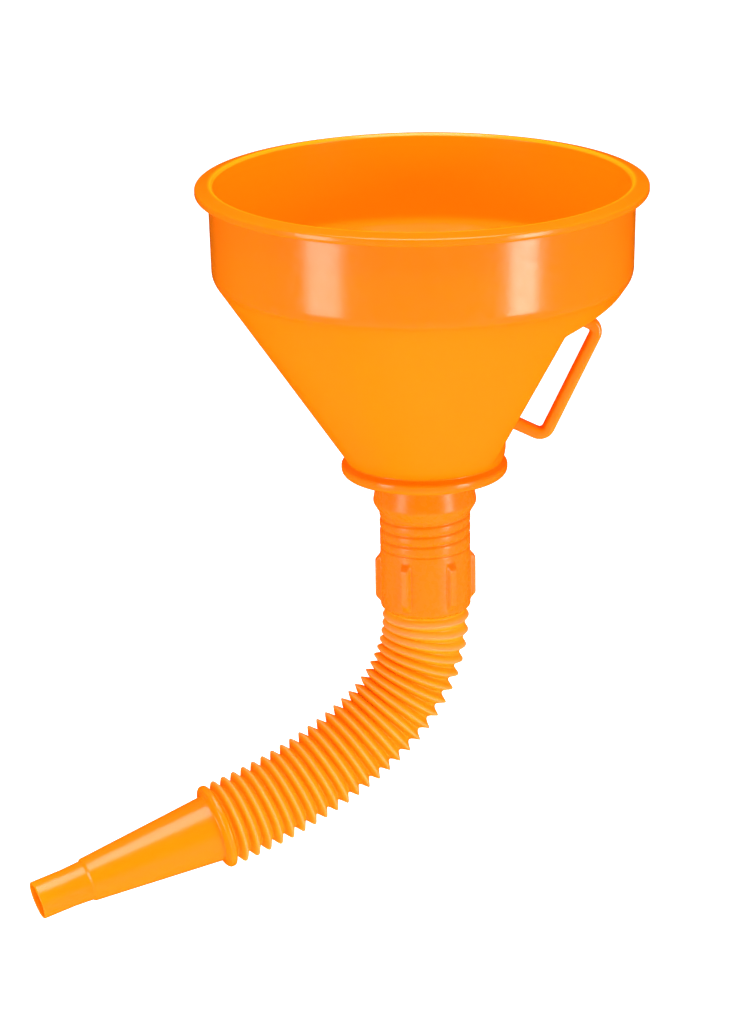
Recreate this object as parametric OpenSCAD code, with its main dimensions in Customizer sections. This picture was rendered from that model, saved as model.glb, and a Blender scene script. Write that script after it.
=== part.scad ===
// Pouring funnel with a carrying loop, a lift-out strainer and a flexible screw-on spout.
// Millimetres. The origin is the centre of the mouth, level with the flat top of its lip.
// +Z is the hopper's axis, up and out of the mouth, and +X points to the carrying loop.
// The spout hangs from the neck and bends over towards -X and a little towards -Y.

/* [Hopper] */
// Outside diameter of the rolled lip at the mouth
mouth_d = 160; // [156:1:164]
// How far the lip stands out past the band below it
lip_reach = 4.75; // [3.5:0.25:6]
// Depth of the lip's outer edge
lip_depth = 2.6; // [2:0.1:3.2]
// Depth of the upright band, from the mouth down to its shoulder
band_depth = 33; // [28:1:36]
// How much the band's radius shrinks over its depth
band_draft = 0.65; // [0.3:0.05:1]
// Depth of the cone's lower end below the mouth
cone_depth = 101.9; // [99:0.1:104]
// Radius of the cone at its lower end
cone_end_r = 27.8; // [27:0.1:29]
// Wall thickness of the moulding
wall = 1.6; // [1.3:0.1:1.8]
// Radius of the thick ring that carries the strainer
collar_r = 29.8; // [28.8:0.1:31]
// Height of that ring
collar_h = 5.4; // [5:0.1:7]

/* [Flat panel behind the loop] */
// How far the panel leans out from the vertical
panel_tilt = 24; // [22.5:0.1:26]
// Distance from the axis to the middle of the panel
panel_x = 38.9; // [38:0.1:40.5]
// Depth of the middle of the panel below the mouth
panel_depth = 67.5; // [64:0.5:70]
// How steeply the ledge above the panel falls towards the axis
ledge_tilt = 17.7; // [14:0.1:20]
// Depth of the corner where the ledge meets the panel
ledge_depth = 45.3; // [43:0.1:48]
// Radius of the upright wall below the panel
heel_r = 29.2; // [28.8:0.1:29.6]

/* [Carrying loop] */
// How far the loop's bar leans out from the vertical
loop_tilt = 25.8; // [24:0.1:27]
// Length of the loop along its bar, between the middles of its two legs
loop_len = 44.6; // [40:0.2:46]
// Distance from the panel to the middle of the bar
loop_reach = 15.3; // [13:0.1:17]
// Thickness of the loop's section
loop_t = 4.5; // [3.4:0.1:5]
// Width of the loop's section
loop_w = 5; // [4:0.2:8]

/* [Neck and screw joint] */
// Outside radius of the neck under its thread
neck_r = 13.4; // [13:0.1:13.6]
// Radius of the outlet bore
outlet_r = 11.2; // [10:0.1:11.5]
// Depth of the neck's lower end below the mouth
neck_depth = 132.4; // [131:0.1:133]
// Rise of the thread in one turn
thread_pitch = 3.8; // [3.6:0.1:4]
// Number of turns of thread on the neck
thread_turns = 3; // [2:0.25:3]
// How far the thread stands out from the neck, and in from the socket
thread_h = 1.1; // [0.8:0.1:1.2]

/* [Strainer] */
// Outside radius of the strainer's frame
strainer_r = 25.3; // [24.6:0.1:25.4]
// Height of the strainer's frame
strainer_h = 3.5; // [3:0.1:4.5]
// Number of bars that cross over the mesh
bar_count = 2; // [2:1:3]
// Height of the lifting knob above the bars
knob_h = 9; // [5:0.5:14]

/* [Grip cuff] */
// Largest radius of the bead at the cuff's upper end
bead_r = 18.7; // [18.2:0.1:19.2]
// Outside radius of the cuff
cuff_r = 16.25; // [16:0.05:16.6]
// Radius of the inside of the socket, past the thread
socket_r = 14.9; // [14.8:0.05:15]
// Radius over the grip ribs
rib_r = 18.15; // [17.4:0.05:18.8]
// Width of each grip rib
rib_w = 3.6; // [3:0.1:5]
// Number of grip ribs
rib_count = 6; // [4:1:8]

/* [Bellows and nozzle] */
// Radius of the bellows at its ridges
ridge_r = 15.7; // [15.2:0.1:16]
// Radius at which neighbouring ridges end, beside the valley between them
foot_r = 13.4; // [13:0.1:13.6]
// Distance from ridge to ridge along the middle of the hose
ridge_pitch = 4.43; // [4.4:0.01:4.6]
// Room left between neighbouring ridges at their valleys
valley_gap = 1.8; // [1.6:0.1:2]
// Direction in which the spout bends, from -X towards -Y
bend_azimuth = 22; // [0:1:90]
// Bend at the first valley, next to the stiff cuff
bend_first = 0.7; // [0:0.1:4]
// Bend at each valley along the last part of the hose
bend_base = 1.43; // [0:0.01:2]
// Extra bend at each valley along the first part of the hose
bend_extra = 3.7; // [0:0.1:4]
// Valley at which the extra bend has faded to half
bend_fade_at = 10.8; // [8:0.1:16]
// How many valleys the fading takes
bend_fade_len = 1.35; // [1:0.05:3]
// Length of the nozzle past the last ridge
nozzle_len = 71.3; // [66:0.1:76]
// Radius of the nozzle where it leaves the last ridge
nozzle_base_r = 12.3; // [11.8:0.1:12.6]
// Radius of the straight tip
tip_r = 7; // [6.6:0.1:7.4]
// Length of the stepped-down end of the nozzle
tip_len = 19.5; // [16:0.5:22]

/* [Hidden] */
FINE = 144;
MEDIUM = 96;
THREAD_STEPS = 24;
ridge_count = 26;
mouth_r = mouth_d / 2;
band_r = mouth_r - lip_reach;
band_end_r = band_r - band_draft;
land_in_r = band_r - 0.95;
land_out_r = band_r + 0.35;
lip_end = -5;
cone_slope = (band_end_r - cone_end_r) / (cone_depth - band_depth);
cone_wall = wall * sqrt(1 + cone_slope * cone_slope);
collar_z = -cone_depth - collar_h;
seat_r = cone_end_r - cone_wall;
seat_z = collar_z + 1.8;
frame_z = seat_z + 0.2;
frame_top = frame_z + strainer_h;
mesh_top = frame_z + 1.5;
mesh_t = 0.4;
rim_w = 2.8;
rim_in_r = strainer_r - rim_w;
mesh_r = strainer_r - 0.6;
thread_z = -neck_depth + 2.85;
thread_start = 180;
socket_turns = thread_turns - 0.5;
socket_z = thread_z - thread_pitch / 2;
body_gap = 0.3;
washer_top = -neck_depth - body_gap;
washer_h = 1.9;
washer_r = socket_r - body_gap;
ledge_top = washer_top - washer_h - body_gap;
ledge_h = 1.7;
ledge_r = 12.4;
cuff_top = collar_z - 0.6;
bead_top = cuff_top - 3.6;
bead_z = cuff_top - 9.9;
bead_end = cuff_top - 13.7;
cuff_z = -neck_depth - 2.8;
hose_z = cuff_z - 23.8;
cuff_end = hose_z + valley_gap / 2;
rib_start = 4;
rib_top = cuff_z - 1.8;
rib_len = 19;
rib_ramp = 2.7;
skin = 1.0;
hose_axis = [-sin(bend_azimuth), cos(bend_azimuth), 0];
hose_side = [-cos(bend_azimuth), -sin(bend_azimuth), 0];

// The name of one ridge of the bellows, numbered from the cuff.
function ridge_name(i) = str("bellows_ridge_", i < 10 ? "0" : "", i);

// ---- outlines -----------------------------------------------------------------------

function unit(v) = v / norm(v);

// The arc of radius r that rounds the corner b between a and c.
function fillet(a, b, c, r, steps = 6) =
    let (u = unit(a - b), v = unit(c - b), half = acos(u * v) / 2,
         centre = b + unit(u + v) * r / sin(half),
         p = b + u * r / tan(half) - centre,
         q = b + v * r / tan(half) - centre,
         turn = acos(p * q / (r * r)) * sign(cross(p, q)))
    [for (i = [0:steps]) let (w = turn * i / steps)
        centre + [p[0] * cos(w) - p[1] * sin(w), p[0] * sin(w) + p[1] * cos(w)]];

// A closed outline from corners [x, y, radius], with each corner rounded by its radius.
function outline(corners) =
    let (n = len(corners), flat = [for (c = corners) [c[0], c[1]]])
    [for (i = [0:n - 1])
        each corners[i][2] > 0
            ? fillet(flat[(i + n - 1) % n], flat[i], flat[(i + 1) % n], corners[i][2])
            : [flat[i]]];

module revolved(corners, detail = MEDIUM) {
    rotate_extrude($fn = detail) polygon(outline(corners));
}

// ---- hopper -------------------------------------------------------------------------

// The panel's surface set back by t, and the ledge's set up by t, in the X-Z plane.
function panel_at(z, t) = panel_x + tan(panel_tilt) * (z + panel_depth) - t / cos(panel_tilt);
function recess_corner(t) =
    let (corner_x = panel_at(-ledge_depth, 0),
         raise = t / cos(ledge_tilt),
         x = (panel_at(-ledge_depth - tan(ledge_tilt) * corner_x + raise, t))
             / (1 - tan(panel_tilt) * tan(ledge_tilt)))
    [x, -ledge_depth + tan(ledge_tilt) * (x - corner_x) + raise];

// The space cut out of the cone behind the loop, with its surfaces set back by t.
module recess(t) {
    corner = recess_corner(t);
    out_x = mouth_r + 5;
    low_z = -cone_depth;
    difference() {
        rotate([90, 0, 0]) linear_extrude(height = mouth_d, center = true)
            polygon(outline([
                [corner[0], corner[1], 2.5],
                [out_x, corner[1] + tan(ledge_tilt) * (out_x - corner[0]), 0],
                [out_x, low_z, 0],
                [panel_at(low_z, t), low_z, 0]]));
        translate([0, 0, low_z - 1])
            cylinder(r = heel_r - t, h = cone_depth, $fn = FINE);
    }
}

module hopper_outside() {
    revolved([
        [0, 0, 0],
        [land_out_r, 0, 0],
        [mouth_r, -1.1, 0.9],
        [mouth_r, -1.1 - lip_depth, 1.1],
        [band_r, lip_end + 0.5, 0.4],
        [band_end_r, -band_depth, 8],
        [cone_end_r, -cone_depth, 0],
        [collar_r, -cone_depth - 1.6, 1.3],
        [collar_r, collar_z, 2.2],
        [neck_r, collar_z, 0.6],
        [neck_r, -neck_depth, 0.5],
        [0, -neck_depth, 0]], FINE);
}

module hopper_inside() {
    corner_z = -band_depth + (cone_wall - wall) / cone_slope;
    revolved([
        [0, 1, 0],
        [land_in_r, 1, 0],
        [land_in_r, 0, 0],
        [band_r - wall - 0.1, -0.9, 0.9],
        [band_end_r - wall, corner_z, 6.4],
        [seat_r, -cone_depth, 0],
        [seat_r, seat_z, 0.3],
        [seat_r - 4, seat_z, 0],
        [outlet_r, seat_z - 1, 1.5],
        [outlet_r, -neck_depth - 1, 0],
        [0, -neck_depth - 1, 0]], FINE);
}

// The one moulding of the hopper, between two heights.
module hopper_part(top, bottom) {
    color([1, 0.55, 0.1]) intersection() {
        difference() {
            difference() {
                hopper_outside();
                recess(0);
            }
            difference() {
                hopper_inside();
                recess(wall);
            }
        }
        translate([-mouth_d, -mouth_d, bottom]) cube([2 * mouth_d, 2 * mouth_d, top - bottom]);
    }
}
module mouth_lip() { hopper_part(1, lip_end); }
module hopper_band() { hopper_part(lip_end, -band_depth); }
module hopper_cone() { hopper_part(-band_depth, -cone_depth); }
module strainer_ring() { hopper_part(-cone_depth, collar_z); }
module hopper_neck() { hopper_part(collar_z, -neck_depth - 1); }

module carrying_loop() {
    half = loop_t / 2;
    sink = wall / 2;
    lag = tan(loop_tilt - panel_tilt) * loop_len / 2;
    color([1, 0.42, 0.05])
        translate([panel_x, 0, -panel_depth]) rotate([0, loop_tilt, 0])
        rotate([90, 0, 0]) linear_extrude(height = loop_w, center = true)
            polygon(outline([
                [lag - sink, -loop_len / 2 - half, 0],
                [loop_reach + half, -loop_len / 2 - half, 5.5],
                [loop_reach + half, loop_len / 2 + half, 5.5],
                [-lag - sink, loop_len / 2 + half, 0],
                [-lag - sink, loop_len / 2 - half, 0],
                [loop_reach - half, loop_len / 2 - half, 1.2],
                [loop_reach - half, -loop_len / 2 + half, 1.2],
                [lag - sink, -loop_len / 2 + half, 0]]));
}

// ---- screw joint --------------------------------------------------------------------

// One right-hand thread ridge, swept up from z, that runs out to nothing at both ends.
module thread_ridge(base_r, crest_r, base_w, crest_w, turns, z) {
    steps = ceil(turns * THREAD_STEPS);
    lead = THREAD_STEPS / 4;
    // the four corners of the section at step i, with its crest sinking over the lead
    function section(i) =
        let (a = thread_start + 360 * i / THREAD_STEPS,
             rise = z + thread_pitch * i / THREAD_STEPS,
             fade = min(1, min(i, steps - i) / lead),
             r = base_r + (crest_r - base_r) * max(0.3, fade))
        [for (c = [[base_r, -base_w], [r, -crest_w], [r, crest_w], [base_r, base_w]])
            [c[0] * cos(a), c[0] * sin(a), rise + c[1] / 2]];
    points = [for (i = [0:steps]) each section(i)];
    sides = [for (i = [0:steps - 1]) for (k = [0:3])
        [4 * i + k, 4 * i + (k + 1) % 4, 4 * i + 4 + (k + 1) % 4, 4 * i + 4 + k]];
    ends = [[3, 2, 1, 0], [for (k = [0:3]) 4 * steps + k]];
    outward = concat(sides, ends);
    polyhedron(points, crest_r > base_r ? [for (f = outward) [for (k = [3:-1:0]) f[k]]] : outward);
}

module neck_thread() {
    color([1, 0.5, 0.1])
        thread_ridge(neck_r - 0.15, neck_r + thread_h, 1.8, 0.9, thread_turns, thread_z);
}

module seal_washer() {
    color([0.12, 0.12, 0.12]) revolved([
        [ledge_r - 0.2, washer_top, 0.3],
        [washer_r, washer_top, 0.3],
        [washer_r, washer_top - washer_h, 0.3],
        [ledge_r - 0.2, washer_top - washer_h, 0.3]]);
}

// ---- strainer -----------------------------------------------------------------------

module strainer_frame() {
    bar_t = 1.6;
    foot = 4;
    neck = 2;
    grip = 3.6;
    color([1, 0.5, 0.1]) {
        revolved([
            [rim_in_r, mesh_top, 0],
            [mesh_r, mesh_top, 0],
            [mesh_r, frame_z, 0],
            [strainer_r, frame_z, 0],
            [strainer_r, frame_top, 0.5],
            [rim_in_r, frame_top, 0.5]]);
        for (i = [0:bar_count - 1])
            rotate([0, 0, i * 180 / bar_count]) translate([0, 0, mesh_top + bar_t / 2])
                cube([2 * rim_in_r + rim_w, bar_t, bar_t], center = true);
        revolved([
            [0, mesh_top, 0],
            [foot, mesh_top, 0],
            [foot - 0.8, mesh_top + 2.4, 1],
            [neck, mesh_top + knob_h - 3, 2],
            [grip, mesh_top + knob_h - 1, 0.8],
            [grip, mesh_top + knob_h + 1.2, 0.9],
            [0, mesh_top + knob_h + 1.2, 0]]);
    }
}

module strainer_mesh() {
    color([0.75, 0.62, 0.35]) translate([0, 0, mesh_top - mesh_t])
        cylinder(r = mesh_r, h = mesh_t, $fn = MEDIUM);
}

module strainer_clamp() {
    color([1, 0.5, 0.1]) revolved([
        [rim_in_r, mesh_top - mesh_t, 0],
        [mesh_r, mesh_top - mesh_t, 0],
        [mesh_r, frame_z, 0],
        [rim_in_r, frame_z, 0.4]]);
}

// ---- spout --------------------------------------------------------------------------

module cuff_shell() {
    bead_t = 1.4;
    revolved([
        [neck_r + 2.5, cuff_top, 0.5],
        [neck_r + 3.8, cuff_top, 0.6],
        [neck_r + 4.2, bead_top, 4],
        [bead_r, bead_z, 2.6],
        [cuff_r + 0.15, bead_end, 1],
        [cuff_r + 0.05, ledge_top + 0.9, 0.4],
        [cuff_r - 0.4, ledge_top + 0.3, 0.3],
        [cuff_r, cuff_z, 1],
        [cuff_r, cuff_end + 1.3, 1],
        [foot_r, cuff_end, 0],
        [foot_r - skin, cuff_end, 0],
        [cuff_r - 1.5, cuff_end + 1.8, 0.6],
        [cuff_r - 1.5, ledge_top - ledge_h, 0],
        [ledge_r, ledge_top - ledge_h, 0.4],
        [ledge_r, ledge_top, 0.4],
        [socket_r, ledge_top, 0],
        [socket_r, bead_end + 0.2, 1],
        [bead_r - bead_t, bead_z, 2],
        [neck_r + 2.7, bead_top - 0.3, 3]]);
}

module grip_rib() {
    rotate([90, 0, 0]) linear_extrude(height = rib_w, center = true)
        polygon(outline([
            [cuff_r - wall / 2, rib_top, 0],
            [rib_r, rib_top - rib_ramp, 1],
            [rib_r, rib_top - rib_len + rib_ramp, 1],
            [cuff_r - wall / 2, rib_top - rib_len, 0]]));
}

module grip_cuff() {
    color([1, 0.5, 0.08]) {
        cuff_shell();
        for (i = [0:rib_count - 1])
            rotate([0, 0, rib_start + i * 360 / rib_count]) grip_rib();
    }
}

module socket_thread() {
    color([1, 0.5, 0.08])
        thread_ridge(socket_r + 0.15, socket_r - thread_h, 1.8, 0.9, socket_turns, socket_z);
}

// Bend at valley k at rest, where valley 0 is the one under the cuff.
function valley_bend(k) = k < 1
    ? bend_first
    : bend_base + bend_extra / (1 + exp((k - bend_fade_at) / bend_fade_len));

// Lean of ridge n from the vertical, and the middle of the valley after it.
function lean(n) = n < 1 ? 0 : lean(n - 1) + valley_bend(n - 1);
function valley_point(n) = n < 1
    ? [0, 0, hose_z]
    : valley_point(n - 1)
        + ridge_pitch * (sin(lean(n)) * hose_side - cos(lean(n)) * [0, 0, 1]);

// Puts a shape that hangs down from the origin where ridge n hangs from the valley before it.
module on_hose(n) {
    translate(valley_point(n - 1)) rotate(a = lean(n), v = hose_axis) children();
}

module bellows_ridge(n) {
    half = ridge_pitch / 2;
    foot = half - valley_gap / 2;
    color([1, 0.53, 0.05]) on_hose(n) translate([0, 0, -half]) revolved([
        [foot_r, foot, 0],
        [ridge_r, 0, 0.4],
        [foot_r, -foot, 0],
        [foot_r - skin, -foot, 0],
        [ridge_r - 1.35, 0, 0.3],
        [foot_r - skin, foot, 0]]);
}

module nozzle() {
    ring_z = -ridge_pitch / 2;
    tip_z = ring_z - nozzle_len;
    step_z = tip_z + tip_len;
    land = 12;
    color([1, 0.56, 0.08]) on_hose(ridge_count + 1) revolved([
        [foot_r, -valley_gap / 2, 0],
        [ridge_r - 0.1, ring_z + 0.6, 0.7],
        [ridge_r - 0.1, ring_z - 1.5, 0.9],
        [nozzle_base_r, ring_z - 2.4, 0.6],
        [tip_r + 1.05, step_z + 0.3, 0.3],
        [tip_r + 0.4, step_z - 0.5, 0.3],
        [tip_r, tip_z + land, 0],
        [tip_r, tip_z, 0.4],
        [tip_r - 1.1, tip_z, 0.4],
        [tip_r - 1.1, tip_z + land, 0],
        [nozzle_base_r - 1.1, ring_z - 3, 1],
        [nozzle_base_r + 1.6, ring_z - 0.4, 0.5],
        [foot_r - skin, -valley_gap / 2, 0]]);
}

// ---- the assembly -------------------------------------------------------------------

mouth_lip();
hopper_band();
hopper_cone();
strainer_ring();
hopper_neck();
carrying_loop();
neck_thread();
strainer_frame();
strainer_mesh();
strainer_clamp();
seal_washer();
grip_cuff();
socket_thread();
for (i = [1:ridge_count])
    bellows_ridge(i);
nozzle();
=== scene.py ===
import math
import bpy
import numpy as np
from mathutils import Matrix, Vector


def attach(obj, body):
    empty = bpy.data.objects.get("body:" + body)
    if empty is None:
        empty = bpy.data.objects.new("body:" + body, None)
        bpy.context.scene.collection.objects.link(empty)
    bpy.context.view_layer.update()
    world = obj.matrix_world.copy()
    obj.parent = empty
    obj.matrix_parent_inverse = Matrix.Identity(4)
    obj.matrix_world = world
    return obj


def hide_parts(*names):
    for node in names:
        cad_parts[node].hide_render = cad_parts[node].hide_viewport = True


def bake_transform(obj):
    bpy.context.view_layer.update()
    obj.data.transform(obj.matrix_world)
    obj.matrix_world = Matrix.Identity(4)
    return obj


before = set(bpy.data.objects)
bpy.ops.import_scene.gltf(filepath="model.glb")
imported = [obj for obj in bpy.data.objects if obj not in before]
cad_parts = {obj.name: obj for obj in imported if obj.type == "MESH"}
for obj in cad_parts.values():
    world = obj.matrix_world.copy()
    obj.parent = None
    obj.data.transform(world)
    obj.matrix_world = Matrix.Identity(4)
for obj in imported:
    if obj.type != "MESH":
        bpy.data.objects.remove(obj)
scene = bpy.context.scene
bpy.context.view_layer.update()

MM = 0.001

# ---- sizes, in millimetres, as in the CAD --------------------------------------------
BAND_R, BAND_END_R, BAND_Z = 75.25, 74.6, -33.0
CONE_R, CONE_Z = 27.8, -101.9
LIP_R, LIP_Z = 79.98, -4.5
WALL, CONE_WALL = 1.6, 1.934
COLLAR_R, COLLAR_Z = 29.8, -107.3
NECK_R, OUTLET_R, NECK_Z = 13.4, 11.2, -132.4
SEAT_R, SEAT_Z = 25.866, -105.5
PANEL_X, PANEL_Z, PANEL_TILT = 38.9, -67.5, math.radians(24)
LOOP_TILT, LOOP_LEN, LOOP_REACH, LOOP_T, LOOP_W = math.radians(25.8), 44.6, 15.3, 4.5, 5.0
LEDGE_Z, LEDGE_TILT, HEEL_R = -45.3, math.radians(17.7), 29.2
THREAD_Z, PITCH, TURNS = -129.55, 3.8, 3.0
SOCKET_Z, SOCKET_TURNS, SOCKET_R, LEDGE_IN = THREAD_Z - PITCH / 2, 2.5, 14.9, 12.4
THREAD_H, THREAD_ROOT, THREAD_STEPS = 1.1, 0.15, 96
GROOVE_H, GROOVE_W = 0.52, 0.62
WASHER_R, WASHER_IN, WASHER_TOP, WASHER_Z = 14.6, 12.2, NECK_Z - 0.3, NECK_Z - 2.2
BEAD_R, CUFF_R, CUFF_WALL = 18.7, 16.25, 1.5
CUFF_TOP, CUFF_Z, BEAD_Z, CUFF_END = -107.9, -135.2, -117.8, -157.0
RIB_R, RIBS, RIB_TURN, RIB_HALF, RIB_RAMP = 18.15, 6, math.radians(4), 2.1, 3.2
RIB_TOP, RIB_END = CUFF_Z - 1.8, CUFF_Z - 20.8
FRAME_Z, MESH_TOP, FRAME_TOP = -105.3, -103.8, -101.8
RIM_IN, RIM_WELL, RIM_R = 22.5, 24.7, 25.3
BAR_REACH, BAR_W, BAR_T = 23.4, 0.8, 0.78
KNOB_FOOT_R, KNOB_WAIST_R, KNOB_R, KNOB_H = 3.9, 2.0, 3.6, 10.2
MESH_R, MESH_PITCH, WIRE = 24.5, 1.0, 0.17
HOSE_Z, RIDGES, STEP = -159.0, 26, 4.43
RIDGE_R, VALLEY_R, SKIN, GAP = 15.7, 12.7, 1.0, 1.8
NOZZLE_LEN, NOZZLE_R, NOZZLE_END_R = 71.3, 12.3, 8.05
TIP_LEN, TIP_R, TIP_BORE = 19.5, 7.0, 5.9
BEND_DIR = math.radians(22)
SIDE = np.array([-math.cos(BEND_DIR), -math.sin(BEND_DIR), 0.0])
HINGE = np.array([-math.sin(BEND_DIR), math.cos(BEND_DIR), 0.0])
UP = np.array([0.0, 0.0, 1.0])


def smooth(t):
    t = np.clip(t, 0.0, 1.0)
    return t * t * (3 - 2 * t)


def soft_min(a, b, k):
    h = np.clip(0.5 + 0.5 * (b - a) / k, 0.0, 1.0)
    return b + (a - b) * h - k * h * (1 - h)


def soft_max(a, b, k):
    return -soft_min(-a, -b, k)


# ---- outlines ------------------------------------------------------------------------

def rounded(corners, step=0.8, closed=False, fine=()):
    """Points along a polyline of (r, z, rounding), with its corners rounded and its runs cut to
    step. fine lists (from z, to z, step) where the runs are cut finer."""
    n = len(corners)
    flat = [np.array(c[:2], float) for c in corners]
    points = []
    for i, c in enumerate(corners):
        inner = closed or 0 < i < n - 1
        if c[2] <= 0 or not inner:
            points.append(flat[i])
            continue
        a, b, d = flat[i - 1], flat[i], flat[(i + 1) % n]
        u, v = (a - b) / np.linalg.norm(a - b), (d - b) / np.linalg.norm(d - b)
        half = math.acos(max(-1.0, min(1.0, float(u @ v)))) / 2
        mid = (u + v) / np.linalg.norm(u + v)
        centre = b + mid * c[2] / math.sin(half)
        p, q = b + u * c[2] / math.tan(half) - centre, b + v * c[2] / math.tan(half) - centre
        turn = math.atan2(p[0] * q[1] - p[1] * q[0], p @ q)
        for w in np.linspace(0, turn, 7):
            cw, sw = math.cos(w), math.sin(w)
            points.append(centre + np.array([p[0] * cw - p[1] * sw, p[0] * sw + p[1] * cw]))
    if closed:
        points.append(points[0])
    out = [points[0]]
    for a, b in zip(points[:-1], points[1:]):
        cuts = [s for z0, z1, s in fine if min(a[1], b[1]) < z1 and max(a[1], b[1]) > z0]
        parts = max(1, int(math.ceil(np.linalg.norm(b - a) / min([step] + cuts))))
        out += [a + (b - a) * t / parts for t in range(1, parts + 1)]
    if closed:
        out = out[:-1]
    return np.array(out)


# ---- meshes --------------------------------------------------------------------------

def grid(name, points, loop_rows=False, ghosts=False, crest=None):
    """A smooth mesh from points[row, column], closed round the columns. With ghosts, the first and
    last rows only steer the normals of the rows beside them. crest is a value for each row that the
    material reads, to paint light onto those rows."""
    rows, cols = points.shape[:2]
    along = np.gradient(points, axis=0)
    if loop_rows:
        along = np.roll(points, -1, 0) - np.roll(points, 1, 0)
    around = np.roll(points, -1, 1) - np.roll(points, 1, 1)
    normals = np.cross(around, along)
    length = np.linalg.norm(normals, axis=2, keepdims=True)
    normals = normals / np.maximum(length, 1e-9)
    if ghosts:
        points, normals, rows = points[1:-1], normals[1:-1], rows - 2
    count = rows if loop_rows else rows - 1
    r, c = np.meshgrid(np.arange(count), np.arange(cols), indexing="ij")
    r2, c2 = (r + 1) % rows, (c + 1) % cols
    faces = np.stack([r * cols + c, r * cols + c2, r2 * cols + c2, r2 * cols + c], -1)
    mesh = bpy.data.meshes.new(name)
    mesh.from_pydata((points.reshape(-1, 3) * MM).tolist(), [], faces.reshape(-1, 4).tolist())
    mesh.validate()
    mesh.shade_smooth()
    if ghosts:
        mesh.normals_split_custom_set_from_vertices(normals.reshape(-1, 3).tolist())
        crest = None if crest is None else crest[1:-1]
    if crest is not None:
        values = mesh.attributes.new("crest", "FLOAT", "POINT").data
        values.foreach_set("value", np.repeat(crest, cols).astype(np.float32))
    obj = bpy.data.objects.new(name, mesh)
    scene.collection.objects.link(obj)
    return obj


def lathe_points(profile, cols, shape=None):
    """points[row, column] of a turned profile; shape(r, z, angle) may change the radius."""
    a = np.arange(cols) * 2 * math.pi / cols
    r = np.repeat(profile[:, :1], cols, 1)
    z = np.repeat(profile[:, 1:2], cols, 1)
    angle = np.repeat(a[None, :], len(profile), 0)
    if shape is not None:
        r = shape(r, z, angle)
    return np.stack([r * np.cos(angle), r * np.sin(angle), z], -1)


# ---- materials -----------------------------------------------------------------------

def node_material(name):
    material = bpy.data.materials.new(name)
    material.use_nodes = True
    tree = material.node_tree
    tree.nodes.clear()
    return material, tree, tree.nodes.new("ShaderNodeOutputMaterial")


def noise_node(tree, scale, detail=2.0):
    """Noise by the place on the piece."""
    noise = tree.nodes.new("ShaderNodeTexNoise")
    noise.inputs["Scale"].default_value, noise.inputs["Detail"].default_value = scale, detail
    place = tree.nodes.new("ShaderNodeTexCoord")
    tree.links.new(place.outputs["Object"], noise.inputs["Vector"])
    return noise.outputs["Fac"]


def ramp_node(tree, value, stops):
    """A colour for a value, from (position, colour) stops."""
    ramp = tree.nodes.new("ShaderNodeValToRGB")
    elements = ramp.color_ramp.elements
    for i, (at, colour) in enumerate(stops):
        inner = 0 < i < len(stops) - 1
        stop = elements.new(at) if inner else elements[0 if i == 0 else -1]
        stop.position, stop.color = at, (*colour, 1)
    tree.links.new(value, ramp.inputs["Fac"])
    return ramp.outputs["Color"]


def range_node(tree, value, low, high, start=0.0, end=1.0):
    """The value, taken from start..end to low..high."""
    spread = tree.nodes.new("ShaderNodeMapRange")
    spread.inputs["From Min"].default_value, spread.inputs["From Max"].default_value = start, end
    spread.inputs["To Min"].default_value, spread.inputs["To Max"].default_value = low, high
    tree.links.new(value, spread.inputs["Value"])
    return spread.outputs["Result"]


def bump_node(tree, value, strength, distance):
    bumps = tree.nodes.new("ShaderNodeBump")
    bumps.inputs["Strength"].default_value = strength
    bumps.inputs["Distance"].default_value = distance
    tree.links.new(value, bumps.inputs["Height"])
    return bumps.outputs["Normal"]


def wall_share(tree, through, share_and_shade):
    """The share of light let through, by height up the piece."""
    low, high = share_and_shade[0][0] * MM, share_and_shade[-1][0] * MM
    split = tree.nodes.new("ShaderNodeSeparateXYZ")
    tree.links.new(tree.nodes.new("ShaderNodeTexCoord").outputs["Object"], split.inputs["Vector"])
    height = range_node(tree, split.outputs["Z"], 0.0, 1.0, low, high)
    stops = [((z * MM - low) / (high - low), [through * share] * 3) for z, share in share_and_shade]
    return ramp_node(tree, height, stops)


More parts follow.
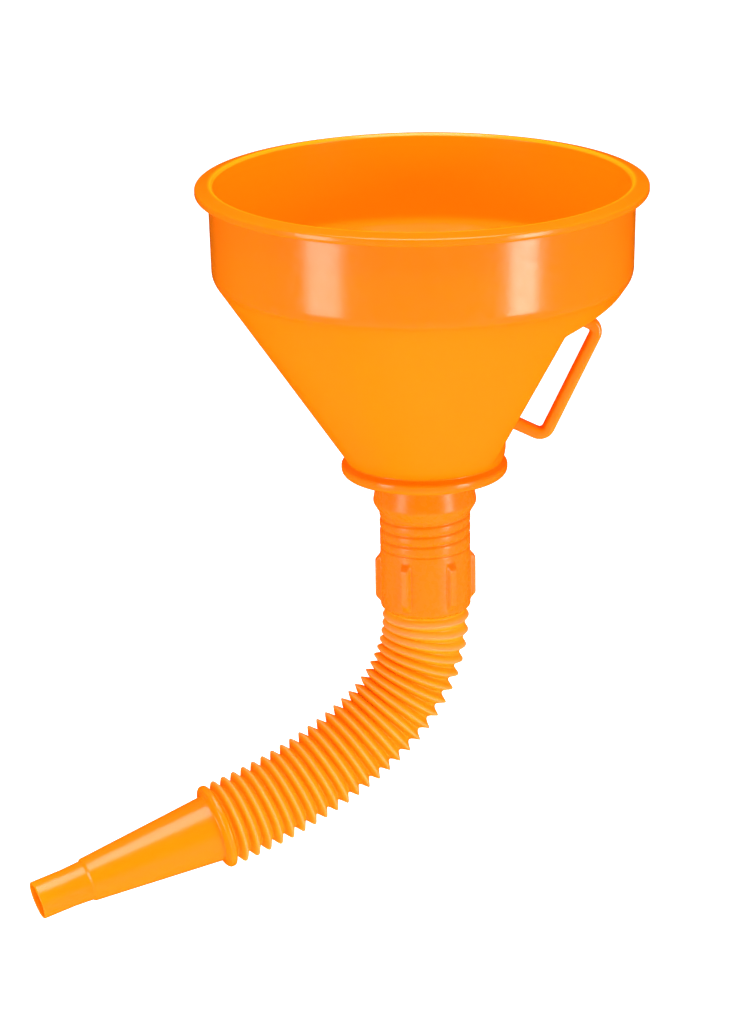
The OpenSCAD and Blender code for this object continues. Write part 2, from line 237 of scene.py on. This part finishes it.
def plastic(name, deep, pale, glow, through, rough=0.2, grain=380.0, shine=0.4, share_and_shade=(),
            crest=None):
    """Moulded plastic that lets some light through, with faint flow clouds and a fine grain.
    thick lists (height, share) stops, which let only a share of the light through at each height
    and darken the colour where that share is low: partly the deeper look of thicker walls, partly
    painted shade.
    crest is the colour where the mesh's crest value is 1: painted light, as on the hopper's inside,
    and a painted highlight, as on the hose's ridge tops."""
    material, tree, out = node_material(name)
    new, link = tree.nodes.new, tree.links.new
    cloud, fine = noise_node(tree, 22.0, 3.0), noise_node(tree, grain, 4.0)
    colour = ramp_node(tree, cloud, [(0.3, deep), (0.7, pale)])
    shell = new("ShaderNodeBsdfPrincipled")
    shell.inputs["IOR"].default_value = 1.5
    shell.inputs["Specular IOR Level"].default_value = shine
    link(range_node(tree, fine, rough - 0.04, rough + 0.05, 0.3, 0.7), shell.inputs["Roughness"])
    link(bump_node(tree, fine, 0.05, 0.0002), shell.inputs["Normal"])
    inner = new("ShaderNodeBsdfTranslucent")
    inner.inputs["Color"].default_value = (*glow, 1)
    mix = new("ShaderNodeMixShader")
    mix.inputs["Fac"].default_value = through
    if share_and_shade:
        share = wall_share(tree, through, share_and_shade)
        link(share, mix.inputs["Fac"])
        # Darkens the colour where less light is let through: painted shade.
        shade = new("ShaderNodeHueSaturation")
        link(range_node(tree, share, 0.65, 1.0, 0.0, through), shade.inputs["Value"])
        link(colour, shade.inputs["Color"])
        colour = shade.outputs["Color"]
    if crest:
        along = new("ShaderNodeAttribute")
        along.attribute_name = "crest"
        pick = new("ShaderNodeMixRGB")
        pick.inputs["Color2"].default_value = (*crest, 1)
        link(along.outputs["Fac"], pick.inputs["Fac"])
        link(colour, pick.inputs["Color1"])
        colour = pick.outputs["Color"]
    link(colour, shell.inputs["Base Color"])
    link(shell.outputs["BSDF"], mix.inputs[1])
    link(inner.outputs["BSDF"], mix.inputs[2])
    link(mix.outputs["Shader"], out.inputs["Surface"])
    return material


def metal(name, dark, light, rough):
    """Drawn wire, with its colour and polish a little uneven."""
    material, tree, out = node_material(name)
    noise = noise_node(tree, 900.0)
    shell = tree.nodes.new("ShaderNodeBsdfPrincipled")
    shell.inputs["Metallic"].default_value = 1.0
    tree.links.new(ramp_node(tree, noise, [(0, dark), (1, light)]), shell.inputs["Base Color"])
    tree.links.new(range_node(tree, noise, rough - 0.08, rough + 0.08), shell.inputs["Roughness"])
    tree.links.new(shell.outputs["BSDF"], out.inputs["Surface"])
    return material


def matt(name, dark, light, scale, bump, rough):
    """Matt rubber with a fine grain."""
    material, tree, out = node_material(name)
    noise = noise_node(tree, scale, 5.0)
    shell = tree.nodes.new("ShaderNodeBsdfPrincipled")
    shell.inputs["Roughness"].default_value = rough
    tree.links.new(ramp_node(tree, noise, [(0, dark), (1, light)]), shell.inputs["Base Color"])
    tree.links.new(bump_node(tree, noise, bump, 0.0003), shell.inputs["Normal"])
    tree.links.new(shell.outputs["BSDF"], out.inputs["Surface"])
    return material


# The height stops darken the band, the collar's underside and the neck below it as painted shade,
# and deepen the thicker lip; the colour for the inside rows paints the hopper's inside lighter, as
# painted light.
hopper_mat = plastic("hopper_plastic", (1.0, 0.2, 0.0005), (1.0, 0.215, 0.001), (1.0, 0.51, 0.003),
                     0.5, rough=0.2, shine=0.3, crest=(1.0, 0.29, 0.002),
                     share_and_shade=[(COLLAR_Z - 1, 0.35), (CONE_Z - 2.8, 0.5), (CONE_Z - 0.8, 1.0),
                            (CONE_Z + 2, 1.0), (BAND_Z - 1, 1.0), (BAND_Z, 0.1),
                            (LIP_Z - 0.4, 0.15), (LIP_Z + 0.3, 0.25), (0.5, 0.25)])
spout_mat = plastic("spout_plastic", (1.0, 0.19, 0.0005), (1.0, 0.205, 0.001), (1.0, 0.37, 0.003),
                    0.3, rough=0.27, grain=520.0, shine=0.24)
# Hose plastic: its base colours are paler than the spout's as painted light, standing in for light
# through the thin wall; its last colour paints a highlight along the ridge tops.
hose_mat = plastic("hose_plastic", (0.95, 0.46, 0.006), (0.95, 0.5, 0.01), (1.0, 0.6, 0.02), 0.62,
                   rough=0.32, grain=520.0, crest=(1.0, 0.4, 0.15))
nozzle_mat = plastic("nozzle_plastic", (1.0, 0.24, 0.0005), (1.0, 0.26, 0.001), (1.0, 0.42, 0.003),
                     0.38, rough=0.22, grain=520.0)
loop_mat = plastic("loop_plastic", (1.0, 0.18, 0.0005), (1.0, 0.195, 0.001), (1.0, 0.22, 0.002),
                   0.1)
wire_mat = metal("strainer_wire", (0.55, 0.38, 0.16), (0.8, 0.62, 0.34), 0.32)
rubber_mat = matt("seal_rubber", (0.012, 0.012, 0.012), (0.035, 0.035, 0.036), 700.0, 0.35, 0.75)


def finish_piece(obj, material, slot_name, body, *nodes):
    obj.data.materials.clear()
    obj.data.materials.append(material)
    if nodes:
        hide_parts(*nodes)
    if body:
        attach(obj, body)
    return obj


# ---- hopper --------------------------------------------------------------------------

def recessed(r, z, angle, t):
    """The radius after the flat panel and its ledge are cut in, with their faces set back by t."""
    ct, ca = math.tan(PANEL_TILT), np.cos(angle)
    panel = PANEL_X + ct * (z - PANEL_Z) - t / math.cos(PANEL_TILT)
    corner_x = PANEL_X + ct * (LEDGE_Z - PANEL_Z)
    ledge = corner_x + (z - LEDGE_Z - t / math.cos(LEDGE_TILT)) / math.tan(LEDGE_TILT)
    limit = soft_max(panel, ledge, 1.6) / np.maximum(ca, 0.05)
    limit = soft_max(limit, HEEL_R - t, 1.2)
    cut = soft_min(r, limit, 1.6)
    inside = (ca > 0.05) & (z < -33.5) & (z > CONE_Z)
    fade = smooth((z - CONE_Z) / 3.0)
    return np.where(inside, r + (np.minimum(cut, r) - r) * fade, r)


LEDGE_ROWS = [(-49, -34, 0.16)]
slope = (BAND_END_R - CONE_R) / (BAND_Z - CONE_Z)
corner_z = BAND_Z + (CONE_WALL - WALL) / slope
outside = rounded([
    (75.6, 0, 0), (LIP_R, -1.1, 0.9), (LIP_R, LIP_Z + 0.8, 1.1), (BAND_R, LIP_Z, 0.4),
    (BAND_END_R, BAND_Z, 8),
    (CONE_R, CONE_Z, 0.5), (COLLAR_R, CONE_Z - 1.6, 1.3), (COLLAR_R, COLLAR_Z, 2.2),
    (NECK_R, COLLAR_Z, 0.6), (NECK_R, NECK_Z, 0.5), (OUTLET_R + 0.9, NECK_Z, 0)],
    step=1.2, fine=LEDGE_ROWS)
inside = rounded([
    (OUTLET_R + 0.9, NECK_Z, 0), (OUTLET_R, NECK_Z, 0.4), (OUTLET_R, SEAT_Z - 1, 1.5),
    (SEAT_R - 4, SEAT_Z, 0.3), (SEAT_R, SEAT_Z, 0.3), (SEAT_R, CONE_Z, 0.4),
    (BAND_END_R - WALL, corner_z, 6.4), (BAND_R - WALL - 0.1, -0.9, 0.7), (74.3, 0, 0.3),
    (75.6, 0, 0)],
    step=1.2, fine=LEDGE_ROWS)
cols = 288
outer_points = lathe_points(outside, cols, lambda r, z, a: recessed(r, z, a, 0.0))
inner_points = lathe_points(inside, cols, lambda r, z, a: recessed(r, z, a, WALL))
shell_points = np.concatenate([outer_points, inner_points[1:-1]])
# Rows of the hopper's inside surface, which the material paints lighter: painted light.
painted_light_inside = (np.arange(len(shell_points)) >= len(outer_points)).astype(float)
hopper = grid("hopper_shell", shell_points, loop_rows=True, crest=painted_light_inside)
finish_piece(hopper, hopper_mat, "hopper_plastic", "hopper",
             "mouth_lip", "hopper_band", "hopper_cone", "strainer_ring", "hopper_neck")


# ---- carrying loop -------------------------------------------------------------------

def sweep(name, centres, widths, heights, flat_axis, power=3.2, cols=28):
    """A rounded-rectangle section swept along centres; flat_axis is the way its width runs."""
    centres = np.array(centres)
    tangent = np.gradient(centres, axis=0)
    tangent /= np.linalg.norm(tangent, axis=1, keepdims=True)
    flat = np.array(flat_axis, float)
    normal = np.cross(tangent, flat)
    normal /= np.linalg.norm(normal, axis=1, keepdims=True)
    t = np.arange(cols) * 2 * math.pi / cols
    cx = np.sign(np.cos(t)) * np.abs(np.cos(t)) ** (2 / power)
    cy = np.sign(np.sin(t)) * np.abs(np.sin(t)) ** (2 / power)
    points = (centres[:, None, :]
              + (flat[None, None, :] * (cx[None, :, None] * np.array(widths)[:, None, None]))
              + normal[:, None, :] * (cy[None, :, None] * np.array(heights)[:, None, None]))
    return grid(name, points)


def loop_piece():
    up = np.array([math.sin(LOOP_TILT), 0, math.cos(LOOP_TILT)])
    out = np.array([math.cos(LOOP_TILT), 0, -math.sin(LOOP_TILT)])
    root = np.array([PANEL_X, 0, PANEL_Z])
    half, lag = LOOP_LEN / 2, math.tan(LOOP_TILT - PANEL_TILT) * LOOP_LEN / 2
    path = rounded([(lag - 0.9, -half, 0), (LOOP_REACH, -half, 3.4), (LOOP_REACH, half, 3.4),
                    (-lag - 0.9, half, 0)], step=0.7)
    centres = [root + out * p[0] + up * p[1] for p in path]
    reach = np.array([p[0] + p[1] / half * lag for p in path])
    flare = 1 + 0.35 * np.exp(-np.maximum(reach, 0) / 0.9)
    half_w, half_t = LOOP_W / 2 * np.minimum(flare, 1.25), LOOP_T / 2 * flare
    obj = sweep("loop_bar", centres, half_w, half_t, (0, 1, 0))
    return finish_piece(obj, loop_mat, "hopper_plastic", "hopper", "carrying_loop")


loop_piece()


# ---- threads -------------------------------------------------------------------------

def thread(name, base_r, crest_r, turns, z0, wide=0.9, narrow=0.42):
    """A right-hand thread ridge that runs out at both ends."""
    steps = int(turns * THREAD_STEPS)
    i = np.arange(steps + 1)
    a = math.pi + 2 * math.pi * i / THREAD_STEPS
    fade = smooth(np.minimum(i, steps - i) / 22.0)
    section = [(0, -wide), (0.45, -wide * 0.72), (0.9, -narrow), (1, -narrow * 0.6),
               (1, narrow * 0.6), (0.9, narrow), (0.45, wide * 0.72), (0, wide)]
    rows = []
    for share, dz in section:
        r = base_r + (crest_r - base_r) * share * np.maximum(fade, 0.05)
        z = z0 + PITCH * i / THREAD_STEPS + dz
        rows.append(np.stack([r * np.cos(a), r * np.sin(a), z], -1))
    points = np.stack(rows, 1)
    if crest_r < base_r:
        points = points[:, ::-1]
    return grid(name, points)


neck_thread = thread("neck_thread_ridge", NECK_R - THREAD_ROOT, NECK_R + THREAD_H, TURNS, THREAD_Z)
finish_piece(neck_thread, hopper_mat, "hopper_plastic", "hopper", "neck_thread")
socket_thread = thread("socket_thread_ridge", SOCKET_R + THREAD_ROOT, SOCKET_R - THREAD_H,
                       SOCKET_TURNS, SOCKET_Z)
finish_piece(socket_thread, spout_mat, "spout_plastic", "spout_cuff", "socket_thread")


# ---- washer --------------------------------------------------------------------------

washer = grid("washer_ring", lathe_points(rounded([
    (WASHER_IN, WASHER_TOP, 0.45), (WASHER_R, WASHER_TOP, 0.45), (WASHER_R, WASHER_Z, 0.45),
    (WASHER_IN, WASHER_Z, 0.45)], step=0.4, closed=True), 120), loop_rows=True)
finish_piece(washer, rubber_mat, "seal_rubber", "seal", "seal_washer")


# ---- strainer ------------------------------------------------------------------------

def strainer():
    rim = grid("strainer_rim", lathe_points(rounded([
        (RIM_IN, MESH_TOP, 0.2), (RIM_WELL, MESH_TOP, 0), (RIM_WELL, FRAME_Z, 0),
        (RIM_R, FRAME_Z, 0.25), (RIM_R, FRAME_TOP, 0.6), (RIM_IN, FRAME_TOP, 0.6)],
        step=0.5, closed=True), 160), loop_rows=True)
    foot, top = MESH_TOP + 0.02, MESH_TOP + KNOB_H
    knob = grid("strainer_knob", lathe_points(rounded([
        (0.02, foot, 0), (KNOB_FOOT_R, foot, 0.2), (3.2, MESH_TOP + 2.4, 1.2),
        (KNOB_WAIST_R, MESH_TOP + 6, 2), (KNOB_R, MESH_TOP + 8, 0.9), (KNOB_R, top, 1.1),
        (1.2, top, 0.4), (0.9, top - 0.4, 0.2), (0.02, top - 0.4, 0)],
        step=0.5), 64))
    bars = []
    for k in range(2):
        a = math.pi / 2 * k
        d, f = np.array([math.cos(a), math.sin(a), 0]), np.array([-math.sin(a), math.cos(a), 0])
        s = np.linspace(-BAR_REACH, BAR_REACH, 60)
        centres = [d * x + UP * (MESH_TOP + 0.8) for x in s]
        flare = 1 + 0.5 * np.exp(-np.abs(23.0 - np.abs(s)) / 0.8)
        bars.append(sweep(f"strainer_bar_{k + 1}", centres, BAR_W * flare, np.full(60, BAR_T), f,
                          cols=16))
    clamp = grid("strainer_clamp_ring", lathe_points(rounded([
        (RIM_IN, MESH_TOP - 0.4, 0.1), (RIM_WELL - 0.05, MESH_TOP - 0.4, 0),
        (RIM_WELL - 0.05, FRAME_Z, 0.2),
        (RIM_IN, FRAME_Z, 0.5)], step=0.5, closed=True), 160), loop_rows=True)
    for obj in (rim, knob, *bars):
        finish_piece(obj, hopper_mat, "hopper_plastic", "strainer")
    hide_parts("strainer_frame")
    finish_piece(clamp, hopper_mat, "hopper_plastic", "strainer", "strainer_clamp")
    gauze = woven("strainer_gauze", MESH_R, MESH_PITCH, WIRE, MESH_TOP - 0.2)
    finish_piece(gauze, wire_mat, "strainer_wire", "strainer", "strainer_mesh")


def woven(name, radius, pitch, wire, z):
    """A disc of plain-woven wire."""
    verts, faces = [], []
    sides = 5
    around = np.arange(sides) * 2 * math.pi / sides
    count = int(radius // pitch)
    for turn in (0, 1):
        for k in range(-count, count + 1):
            offset = k * pitch
            half = math.sqrt(max(radius ** 2 - offset ** 2, 0))
            if half < pitch:
                continue
            n = max(4, int(half * 2 / pitch * 4))
            s = np.linspace(-half, half, n)
            sign = 1 if (k + turn) % 2 else -1
            height = z + sign * 0.5 * wire * np.cos(s / pitch * math.pi) * (1 if turn else -1)
            base = len(verts)
            for x, h in zip(s, height):
                for a in around:
                    y, w = offset + 0.5 * wire * math.cos(a), h + 0.5 * wire * math.sin(a)
                    verts.append((x * MM, y * MM, w * MM) if turn else (y * MM, x * MM, w * MM))
            for i in range(n - 1):
                for j in range(sides):
                    a, b = base + i * sides + j, base + i * sides + (j + 1) % sides
                    faces.append((a, b, b + sides, a + sides))
    mesh = bpy.data.meshes.new(name)
    mesh.from_pydata(verts, [], faces)
    mesh.shade_smooth()
    obj = bpy.data.objects.new(name, mesh)
    scene.collection.objects.link(obj)
    return obj


strainer()


# ---- bellows -------------------------------------------------------------------------

def valley_bend(k):
    return math.radians(0.7 if k < 1 else 1.43 + 3.7 / (1 + math.exp((k - 10.8) / 1.35)))


lean, valley = [0.0], [np.array([0.0, 0.0, HOSE_Z])]
for i in range(RIDGES + 1):
    lean.append(lean[-1] + valley_bend(i))
for i in range(1, RIDGES + 2):
    valley.append(valley[-1] + STEP * (math.sin(lean[i]) * SIDE - math.cos(lean[i]) * UP))


def turned(points, angle):
    """points turned about the hinge axis through the origin, by one angle for each row."""
    c, s = np.cos(angle)[:, None, None], np.sin(angle)[:, None, None]
    along = (points @ HINGE)[..., None] * HINGE
    return points * c + np.cross(np.broadcast_to(HINGE, points.shape), points) * s + along * (1 - c)


def wave(t, valley_r=VALLEY_R):
    """The bellows' outside radius at distance t past a valley: a V with rounded tips."""
    u = np.abs(((t + STEP / 2) % STEP) - STEP / 2) / (STEP / 2)
    low, high = 0.22, 0.88
    rise = 1 / (1 - low / 2 - (1 - high) / 2)
    tip = 1 - rise * (1 - u) ** 2 / (2 * (1 - high))
    flank = np.where(u > high, tip, rise * (u - low / 2))
    g = np.where(u < low, rise * u * u / (2 * low), flank)
    return valley_r - 0.05 + (RIDGE_R - valley_r) * g


def on_valley(k, t, r, cols=96):
    """points[row, column] of rings of radius r at distances t past valley k, bent as at rest."""
    a = np.arange(cols) * 2 * math.pi / cols
    down = -np.repeat(t[:, None], cols, 1)
    local = np.stack([r[:, None] * np.cos(a), r[:, None] * np.sin(a), down], -1)
    share = smooth((t + GAP / 2) / GAP)
    return valley[k] + turned(local, lean[k] + share * (lean[k + 1] - lean[k]))


def valley_radius(k):
    """The valleys just under the cuff are shallow, and deepen down the hose."""
    return VALLEY_R + 1.6 * (1 - smooth((k - 1) / 5))


for k in range(RIDGES + 1):
    low = -GAP / 2 if k == 0 else -STEP / 2
    high = GAP / 2 if k == RIDGES else STEP / 2
    t = np.linspace(low, high, 29 if low == -STEP / 2 and high == STEP / 2 else 21)
    ghost = (t[1] - t[0]) * 0.5
    t = np.concatenate([[low - ghost], t, [high + ghost]])
    radii = wave(t, valley_radius(k))
    # Rows near each ridge top, which the material paints paler: a painted highlight.
    painted_crest_highlight = smooth((radii - RIDGE_R + 1.1) / 1.0)
    for part, rings in (("skin", on_valley(k, t, radii)),
                        ("lining", on_valley(k, t, radii - SKIN)[:, ::-1])):
        obj = grid(f"bellows_{part}_{k:02d}", rings, ghosts=True, crest=painted_crest_highlight)
        finish_piece(obj, hose_mat, "spout_plastic", None)
        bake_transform(obj)
        if part == "skin" and k < RIDGES:
            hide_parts(f"bellows_ridge_{k + 1:02d}")


# ---- grip cuff -----------------------------------------------------------------------

def cuff_shape(r, z, angle):
    """Presses the thread's groove into the wall, and raises the grip ribs."""
    wall_part = (z < -122.2) & (z > -134.4) & (r > SOCKET_R + 0.7)
    turn = (angle - math.pi) / (2 * math.pi)
    for n in range(-1, 4):
        t = turn + n
        on = smooth(np.minimum(t + 0.02, SOCKET_TURNS + 0.1 - t) / 0.12)
        away = (z - (SOCKET_Z + PITCH * t)) / GROOVE_W
        r = np.where(wall_part, r - GROOVE_H * on * np.exp(-away * away), r)
    ramp = np.minimum(smooth((RIB_TOP - z) / RIB_RAMP), smooth((z - RIB_END) / RIB_RAMP))
    half = math.pi / RIBS
    away = np.abs((angle - RIB_TURN + half) % (2 * half) - half) * CUFF_R
    window = smooth((RIB_HALF - away) / 1.1)
    outer_part = (z < RIB_TOP) & (z > RIB_END) & (r > CUFF_R - 0.6)
    return np.where(outer_part, r + (RIB_R - CUFF_R) * ramp * window, r)


def cuff_piece():
    edge = float(wave(np.array([-GAP / 2]), valley_radius(0))[0]) - SKIN
    profile = rounded([
        (NECK_R + 2.6, CUFF_TOP, 0), (NECK_R + 3.8, CUFF_TOP, 0.6), (NECK_R + 4.2, -111.5, 4),
        (BEAD_R, BEAD_Z, 2.6), (CUFF_R + 0.15, BEAD_Z - 3.8, 1), (CUFF_R + 0.05, CUFF_Z + 1.2, 0.5),
        (CUFF_R - 0.35, CUFF_Z + 0.6, 0.4), (CUFF_R, CUFF_Z, 1), (CUFF_R, CUFF_END, 1.0),
        (edge + SKIN, HOSE_Z + GAP / 2, 0)],
        step=0.9, fine=[(-135, -121, 0.22), (-158, -135, 0.5)])
    lining = rounded([
        (edge, HOSE_Z + GAP / 2, 0), (CUFF_R - CUFF_WALL, CUFF_END + 0.5, 0.6),
        (CUFF_R - CUFF_WALL, CUFF_Z - 1.4, 0.3), (LEDGE_IN, CUFF_Z - 1.4, 0.4),
        (LEDGE_IN, CUFF_Z + 0.3, 0.4), (SOCKET_R, CUFF_Z + 0.3, 0.2), (SOCKET_R, BEAD_Z - 3.6, 1),
        (BEAD_R - 1.4, BEAD_Z, 2),
        (NECK_R + 2.7, -111.8, 3), (NECK_R + 2.6, CUFF_TOP, 0)], step=0.9)
    points = np.concatenate([lathe_points(profile, 720, cuff_shape), lathe_points(lining, 720)[1:]])
    obj = grid("cuff_shell", points)
    finish_piece(obj, spout_mat, "spout_plastic", "spout_cuff", "grip_cuff")


cuff_piece()


# ---- nozzle --------------------------------------------------------------------------

def nozzle_piece():
    ring = -STEP / 2
    tip = ring - NOZZLE_LEN
    step_z = tip + TIP_LEN
    start = float(wave(np.array([GAP / 2]), valley_radius(RIDGES))[0])
    profile = rounded([
        (start, -GAP / 2, 0), (RIDGE_R - 0.1, ring + 0.5, 0.9), (RIDGE_R - 0.1, ring - 1.4, 1.1),
        (NOZZLE_R, ring - 2.4, 0.8), (NOZZLE_END_R, step_z + 0.3, 0.4),
        (TIP_R + 0.4, step_z - 0.5, 0.4), (TIP_R, tip + 12, 0), (TIP_R, tip, 0.45),
        (TIP_BORE + 0.5, tip, 0)], step=1.2)
    lining = rounded([
        (TIP_BORE + 0.5, tip, 0), (TIP_BORE, tip, 0.4), (TIP_BORE, tip + 12, 0),
        (NOZZLE_R - 1.1, ring - 3, 1), (13.9, ring - 0.4, 0.5),
        (start - SKIN, -GAP / 2, 0)], step=1.6)
    points = lathe_points(np.concatenate([profile, lining[1:]]), 128)
    points = valley[RIDGES] + turned(points, np.full(len(points), lean[RIDGES + 1]))
    obj = grid("nozzle_shell", points)
    finish_piece(obj, nozzle_mat, "spout_plastic", "nozzle", "nozzle")


nozzle_piece()


# ---- floor, light, camera ------------------------------------------------------------

FLOOR_SIZE, FLOOR_Z, FLOOR_GLOW = 14, -0.6, 0.6
ROOM_FRONT, ROOM_BACK, ROOM_MIRRORED, BACKDROP = 0.15, 0.8, 0.0, 1.05
AIM = (0, 0, -0.05)
LAMPS = [  # name, place, aim, size, size_y, power
    ("soft_left", (-1.3, -0.93, -0.15), AIM, 0.55, 0.95, 18.5),
    ("soft_right", (1.29, -0.94, -0.15), AIM, 0.45, 0.95, 23.5),
    ("soft_top", (0, -0.2, 1.6), (0, 0, 0), 1.4, 1.4, 60),
]


def floor_paper():
    """White paper that is lit from below, so that no shadow greys it."""
    material, tree, out = node_material("floor_paper")
    new, link = tree.nodes.new, tree.links.new
    noise = new("ShaderNodeTexNoise")
    noise.inputs["Scale"].default_value = 60.0
    ramp = new("ShaderNodeValToRGB")
    ramp.color_ramp.elements[0].color = (0.86, 0.86, 0.86, 1)
    ramp.color_ramp.elements[1].color = (0.9, 0.9, 0.9, 1)
    link(noise.outputs["Fac"], ramp.inputs["Fac"])
    shell = new("ShaderNodeBsdfPrincipled")
    shell.inputs["Roughness"].default_value = 0.9
    shell.inputs["Emission Color"].default_value = (1, 1, 1, 1)
    shell.inputs["Emission Strength"].default_value = FLOOR_GLOW
    link(ramp.outputs["Color"], shell.inputs["Base Color"])
    link(shell.outputs["BSDF"], out.inputs["Surface"])
    return material


def studio_world():
    """A white room, dimmer in front than behind. Gloss shows it only at ROOM_MIRRORED, so that the
    lamps make the sheen, and the camera sees plain white above the floor's edge."""
    world = bpy.data.worlds.new("studio")
    scene.world = world
    world.use_nodes = True
    tree = world.node_tree
    new, link = tree.nodes.new, tree.links.new
    sky = tree.nodes["Background"]
    sky.inputs["Color"].default_value = (1, 1, 1, 1)
    split = new("ShaderNodeSeparateXYZ")
    link(new("ShaderNodeTexCoord").outputs["Generated"], split.inputs["Vector"])
    room = new("ShaderNodeMapRange")
    room.inputs["From Min"].default_value, room.inputs["From Max"].default_value = -0.9, 0.1
    room.inputs["To Min"].default_value = ROOM_FRONT
    room.inputs["To Max"].default_value = ROOM_BACK
    link(split.outputs["Y"], room.inputs["Value"])
    level = new("ShaderNodeMapRange")
    level.inputs["To Max"].default_value = ROOM_MIRRORED
    link(room.outputs["Result"], level.inputs["To Min"])
    path = new("ShaderNodeLightPath")
    link(path.outputs["Is Glossy Ray"], level.inputs["Value"])
    seen = new("ShaderNodeMapRange")
    seen.inputs["To Max"].default_value = BACKDROP
    link(path.outputs["Is Camera Ray"], seen.inputs["Value"])
    link(level.outputs["Result"], seen.inputs["To Min"])
    link(seen.outputs["Result"], sky.inputs["Strength"])


def stage():
    bpy.ops.mesh.primitive_plane_add(size=FLOOR_SIZE, location=(0, 0, FLOOR_Z))
    floor = bpy.context.object
    floor.name = "floor"
    floor.visible_glossy = False
    floor.data.materials.append(floor_paper())
    studio_world()
    for name, at, aim, size, size_y, power in LAMPS:
        data = bpy.data.lights.new(name, "AREA")
        data.shape, data.size, data.size_y, data.energy = "RECTANGLE", size, size_y, power
        lamp = bpy.data.objects.new(name, data)
        scene.collection.objects.link(lamp)
        lamp.location = at
        lamp.rotation_mode = "QUATERNION"
        lamp.rotation_quaternion = (Vector(aim) - Vector(at)).to_track_quat("-Z", "Y")


stage()

CAMERA_AT = (-0.01796, -1.4453, 0.3474)
CAMERA_PITCH, CAMERA_ROLL = math.radians(18.0), math.radians(-0.76)
LENS, SENSOR = 148.43, 36
camera = bpy.data.objects.new("camera", bpy.data.cameras.new("camera"))
scene.collection.objects.link(camera)
scene.camera = camera
camera.matrix_world = (Matrix.Translation(CAMERA_AT)
                       @ Matrix.Rotation(math.pi / 2 - CAMERA_PITCH, 4, "X")
                       @ Matrix.Rotation(CAMERA_ROLL, 4, "Z"))
camera.data.lens, camera.data.sensor_width = LENS, SENSOR
scene.view_settings.view_transform = "Standard"
scene.view_settings.gamma = 0.96
